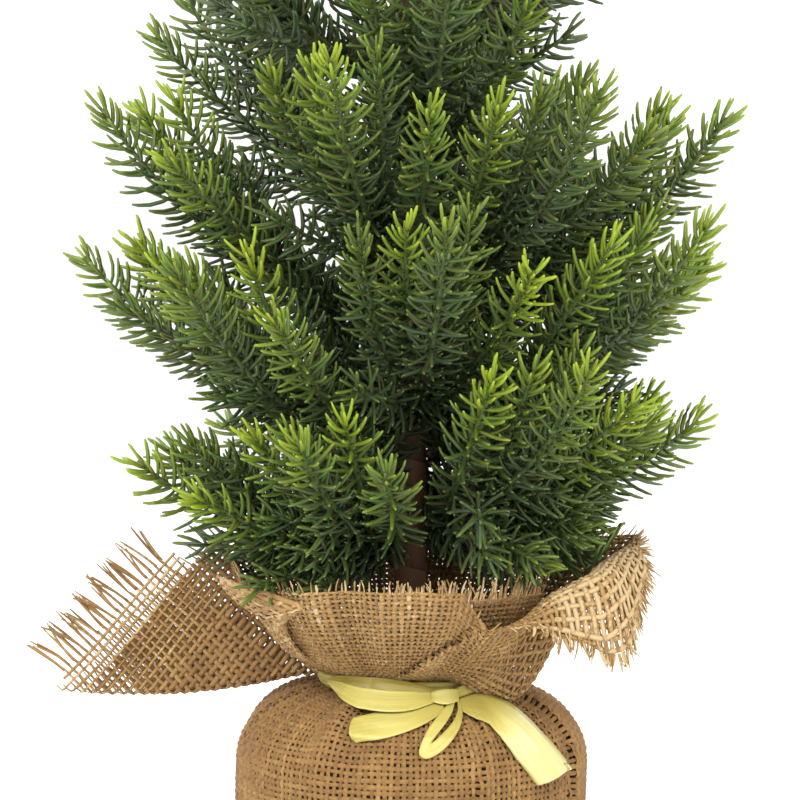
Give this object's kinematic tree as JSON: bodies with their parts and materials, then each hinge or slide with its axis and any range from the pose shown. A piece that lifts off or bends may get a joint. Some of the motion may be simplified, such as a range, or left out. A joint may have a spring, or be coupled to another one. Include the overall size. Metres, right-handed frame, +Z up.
{
  "type": "artificial tabletop tree",
  "caption": "Small artificial pine with bendable needle branches on a weighted pot, the pot wrapped in burlap that is gathered into a ruffled collar and tied with raffia.",
  "frame": {"origin": "centre of the base's flat underside, on the trunk's axis", "axes": "+Z up along the trunk; -Y is the front, where the raffia is tied; -X is the side of the free cloth corner"},
  "size_m": [0.2223, 0.2072, 0.61],
  "materials": {
    "burlap": "coarse open jute weave",
    "pot": "matt",
    "ballast": "rough cast cement",
    "foam": "rigid foam",
    "pole": "bare steel",
    "wire": "steel with a thin brown-green plastic coat",
    "tape": "waxed paper tape",
    "raffia": "satin ribbon",
    "needles": "moulded polyethylene, yellow-green at the ends"
  },
  "bodies": {
    "base": {"burlap_sack": "burlap", "burlap_collar": "burlap", "inner_pot": "pot", "ballast": "ballast", "foam_dome": "foam", "pole": "pole", "wire_tails": "wire", "trunk_tape": "tape", "raffia_tie": "raffia"},
    "branch_01": {"branch_01_wire": "wire", "branch_01_sprigs": "needles"},
    "branch_02": {"branch_02_wire": "wire", "branch_02_sprigs": "needles"},
    "branch_03": {"branch_03_wire": "wire", "branch_03_sprigs": "needles"},
    "branch_04": {"branch_04_wire": "wire", "branch_04_sprigs": "needles"},
    "branch_05": {"branch_05_wire": "wire", "branch_05_sprigs": "needles"},
    "branch_06": {"branch_06_wire": "wire", "branch_06_sprigs": "needles"},
    "branch_07": {"branch_07_wire": "wire", "branch_07_sprigs": "needles"},
    "branch_08": {"branch_08_wire": "wire", "branch_08_sprigs": "needles"},
    "branch_09": {"branch_09_wire": "wire", "branch_09_sprigs": "needles"},
    "branch_10": {"branch_10_wire": "wire", "branch_10_sprigs": "needles"},
    "branch_11": {"branch_11_wire": "wire", "branch_11_sprigs": "needles"},
    "branch_12": {"branch_12_wire": "wire", "branch_12_sprigs": "needles"},
    "branch_13": {"branch_13_wire": "wire", "branch_13_sprigs": "needles"},
    "branch_14": {"branch_14_wire": "wire", "branch_14_sprigs": "needles"},
    "branch_15": {"branch_15_wire": "wire", "branch_15_sprigs": "needles"},
    "branch_16": {"branch_16_wire": "wire", "branch_16_sprigs": "needles"},
    "branch_17": {"branch_17_wire": "wire", "branch_17_sprigs": "needles"},
    "spray_01": {"spray_01": "needles"},
    "spray_02": {"spray_02": "needles"},
    "spray_03": {"spray_03": "needles"},
    "spray_04": {"spray_04": "needles"},
    "spray_05": {"spray_05": "needles"},
    "spray_06": {"spray_06": "needles"},
    "spray_07": {"spray_07": "needles"},
    "spray_08": {"spray_08": "needles"},
    "spray_09": {"spray_09": "needles"},
    "spray_10": {"spray_10": "needles"},
    "spray_11": {"spray_11": "needles"},
    "spray_12": {"spray_12": "needles"},
    "spray_13": {"spray_13": "needles"},
    "spray_14": {"spray_14": "needles"},
    "spray_15": {"spray_15": "needles"},
    "spray_16": {"spray_16": "needles"},
    "leader": {"leader": "needles"}
  },
  "joints": [
    {"name": "branch_01_bend", "type": "hinge", "parent": "base", "child": "branch_01", "pos_m": [-0.00702, -0.00201, 0.15], "axis": [-0.2756, 0.9613, 0], "range_deg": [-7, 22]},
    {"name": "branch_02_bend", "type": "hinge", "parent": "base", "child": "branch_02", "pos_m": [-0.00285, -0.00672, 0.152], "axis": [-0.9205, 0.3907, 0], "range_deg": [-20, 10]},
    {"name": "branch_03_bend", "type": "hinge", "parent": "base", "child": "branch_03", "pos_m": [0.00408, -0.00605, 0.157], "axis": [-0.829, -0.5592, 0], "range_deg": [-20, 6]},
    {"name": "branch_04_bend", "type": "hinge", "parent": "base", "child": "branch_04", "pos_m": [0.00723, -0.00102, 0.157], "axis": [-0.1392, -0.9903, 0], "range_deg": [-15, 16]},
    {"name": "branch_05_bend", "type": "hinge", "parent": "base", "child": "branch_05", "pos_m": [0.00419, 0.00598, 0.153], "axis": [0.8192, -0.5736, 0], "range_deg": [-13, 25]},
    {"name": "branch_06_bend", "type": "hinge", "parent": "base", "child": "branch_06", "pos_m": [-0.00365, 0.00632, 0.156], "axis": [0.866, 0.5, 0], "range_deg": [-20, 14]},
    {"name": "branch_07_bend", "type": "hinge", "parent": "base", "child": "branch_07", "pos_m": [-0.00728, 0.00051, 0.192], "axis": [0.0698, 0.9976, 0], "range_deg": [-20, 13]},
    {"name": "branch_08_bend", "type": "hinge", "parent": "base", "child": "branch_08", "pos_m": [-0.00507, -0.00525, 0.178], "axis": [-0.7193, 0.6947, 0], "range_deg": [-13, 9]},
    {"name": "branch_09_bend", "type": "hinge", "parent": "base", "child": "branch_09", "pos_m": [0.00076, -0.00726, 0.194], "axis": [-0.9945, -0.1045, 0], "range_deg": [-20, 10]},
    {"name": "branch_10_bend", "type": "hinge", "parent": "base", "child": "branch_10", "pos_m": [0.00639, -0.00354, 0.184], "axis": [-0.4848, -0.8746, 0], "range_deg": [-20, 7]},
    {"name": "branch_11_bend", "type": "hinge", "parent": "base", "child": "branch_11", "pos_m": [0.00672, 0.00285, 0.18], "axis": [0.3907, -0.9205, 0], "range_deg": [-16, 19]},
    {"name": "branch_12_bend", "type": "hinge", "parent": "base", "child": "branch_12", "pos_m": [-0.00064, 0.00727, 0.19], "axis": [0.9962, 0.0872, 0], "range_deg": [-18, 22]},
    {"name": "branch_13_bend", "type": "hinge", "parent": "base", "child": "branch_13", "pos_m": [-0.0069, -0.00238, 0.224], "axis": [-0.3256, 0.9455, 0], "range_deg": [-17, 23]},
    {"name": "branch_14_bend", "type": "hinge", "parent": "base", "child": "branch_14", "pos_m": [-0.00177, -0.00708, 0.236], "axis": [-0.9703, 0.2419, 0], "range_deg": [-20, 7]},
    {"name": "branch_15_bend", "type": "hinge", "parent": "base", "child": "branch_15", "pos_m": [0.00419, -0.00598, 0.227], "axis": [-0.8192, -0.5736, 0], "range_deg": [-20, 8]},
    {"name": "branch_16_bend", "type": "hinge", "parent": "base", "child": "branch_16", "pos_m": [0.00721, -0.00114, 0.217], "axis": [-0.1564, -0.9877, 0], "range_deg": [-7, 25]},
    {"name": "branch_17_bend", "type": "hinge", "parent": "base", "child": "branch_17", "pos_m": [0.00365, 0.00632, 0.23], "axis": [0.866, -0.5, 0], "range_deg": [-20, 14]},
    {"name": "spray_01_bend", "type": "hinge", "parent": "base", "child": "spray_01", "pos_m": [-0.00559, 0.00469, 0.259], "axis": [0.6428, 0.766, 0], "range_deg": [-20, 25]},
    {"name": "spray_02_bend", "type": "hinge", "parent": "base", "child": "spray_02", "pos_m": [0.00095, -0.00724, 0.274], "axis": [-0.9914, -0.1305, 0], "range_deg": [-8, 25]},
    {"name": "spray_03_bend", "type": "hinge", "parent": "base", "child": "spray_03", "pos_m": [0.00419, 0.00598, 0.289], "axis": [0.8192, -0.5736, 0], "range_deg": [-20, 25]},
    {"name": "spray_04_bend", "type": "hinge", "parent": "base", "child": "spray_04", "pos_m": [-0.00713, -0.00158, 0.304], "axis": [-0.2164, 0.9763, 0], "range_deg": [-20, 25]},
    {"name": "spray_05_bend", "type": "hinge", "parent": "base", "child": "spray_05", "pos_m": [0.00632, -0.00365, 0.319], "axis": [-0.5, -0.866, 0], "range_deg": [-20, 25]},
    {"name": "spray_06_bend", "type": "hinge", "parent": "base", "child": "spray_06", "pos_m": [-0.00219, 0.00696, 0.334], "axis": [0.9537, 0.3007, 0], "range_deg": [-20, 25]},
    {"name": "spray_07_bend", "type": "hinge", "parent": "base", "child": "spray_07", "pos_m": [-0.00309, -0.00662, 0.349], "axis": [-0.9063, 0.4226, 0], "range_deg": [-20, 25]},
    {"name": "spray_08_bend", "type": "hinge", "parent": "base", "child": "spray_08", "pos_m": [0.00674, 0.00279, 0.364], "axis": [0.3827, -0.9239, 0], "range_deg": [-20, 25]},
    {"name": "spray_09_bend", "type": "hinge", "parent": "base", "child": "spray_09", "pos_m": [-0.00686, 0.0025, 0.379], "axis": [0.342, 0.9397, 0], "range_deg": [-20, 25]},
    {"name": "spray_10_bend", "type": "hinge", "parent": "base", "child": "spray_10", "pos_m": [0.00337, -0.00647, 0.394], "axis": [-0.887, -0.4617, 0], "range_deg": [-20, 24]},
    {"name": "spray_11_bend", "type": "hinge", "parent": "base", "child": "spray_11", "pos_m": [0.00189, 0.00705, 0.409], "axis": [0.9659, -0.2588, 0], "range_deg": [-20, 23]},
    {"name": "spray_12_bend", "type": "hinge", "parent": "base", "child": "spray_12", "pos_m": [-0.00616, -0.00392, 0.424], "axis": [-0.5373, 0.8434, 0], "range_deg": [-20, 25]},
    {"name": "spray_13_bend", "type": "hinge", "parent": "base", "child": "spray_13", "pos_m": [0.00719, -0.00127, 0.439], "axis": [-0.1736, -0.9848, 0], "range_deg": [-20, 24]},
    {"name": "spray_14_bend", "type": "hinge", "parent": "base", "child": "spray_14", "pos_m": [-0.00444, 0.00579, 0.454], "axis": [0.7934, 0.6088, 0], "range_deg": [-20, 23]},
    {"name": "spray_15_bend", "type": "hinge", "parent": "base", "child": "spray_15", "pos_m": [-0.00064, -0.00727, 0.469], "axis": [-0.9962, 0.0872, 0], "range_deg": [-20, 21]},
    {"name": "spray_16_bend", "type": "hinge", "parent": "base", "child": "spray_16", "pos_m": [0.00538, 0.00493, 0.484], "axis": [0.6756, -0.7373, 0], "range_deg": [-20, 4]},
    {"name": "leader_bend", "type": "hinge", "parent": "base", "child": "leader", "pos_m": [0, 0, 0.509], "axis": [0, -1, 0], "range_deg": [-17, 25]}
  ]
}
